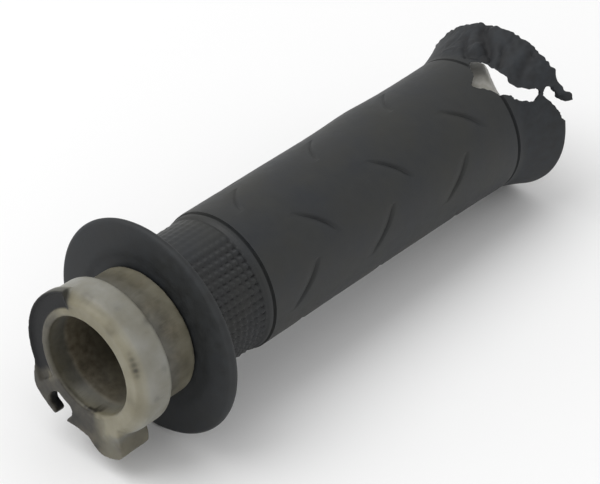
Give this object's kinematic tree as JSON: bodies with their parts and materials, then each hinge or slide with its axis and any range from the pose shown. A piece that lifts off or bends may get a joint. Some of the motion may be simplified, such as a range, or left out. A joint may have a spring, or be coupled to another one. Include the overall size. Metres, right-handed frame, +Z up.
{
  "type": "throttle grip",
  "caption": "Used motorcycle throttle grip: flanged, scooped rubber sleeve on a nylon tube with a cable drum, hook slot and stop lug; outer rim torn.",
  "frame": {"origin": "on the handlebar bore's axis, in the plane of the cable drum's front face", "axes": "+X along the bore from the cable drum towards the flared outer end, +Z up, the hook slot on the +Y side and the torn side of the rim towards -Y and up"},
  "size_m": [0.1381, 0.0508, 0.0508],
  "materials": {
    "aged_nylon": "satin moulded nylon, yellowed, with black grease smears round the cable hook",
    "charcoal_rubber": "satin charcoal rubber, worn smooth, raw and rough where torn"
  },
  "bodies": {
    "root": {"throttle_tube": "aged_nylon", "grip_rubber": "charcoal_rubber"}
  },
  "joints": []
}
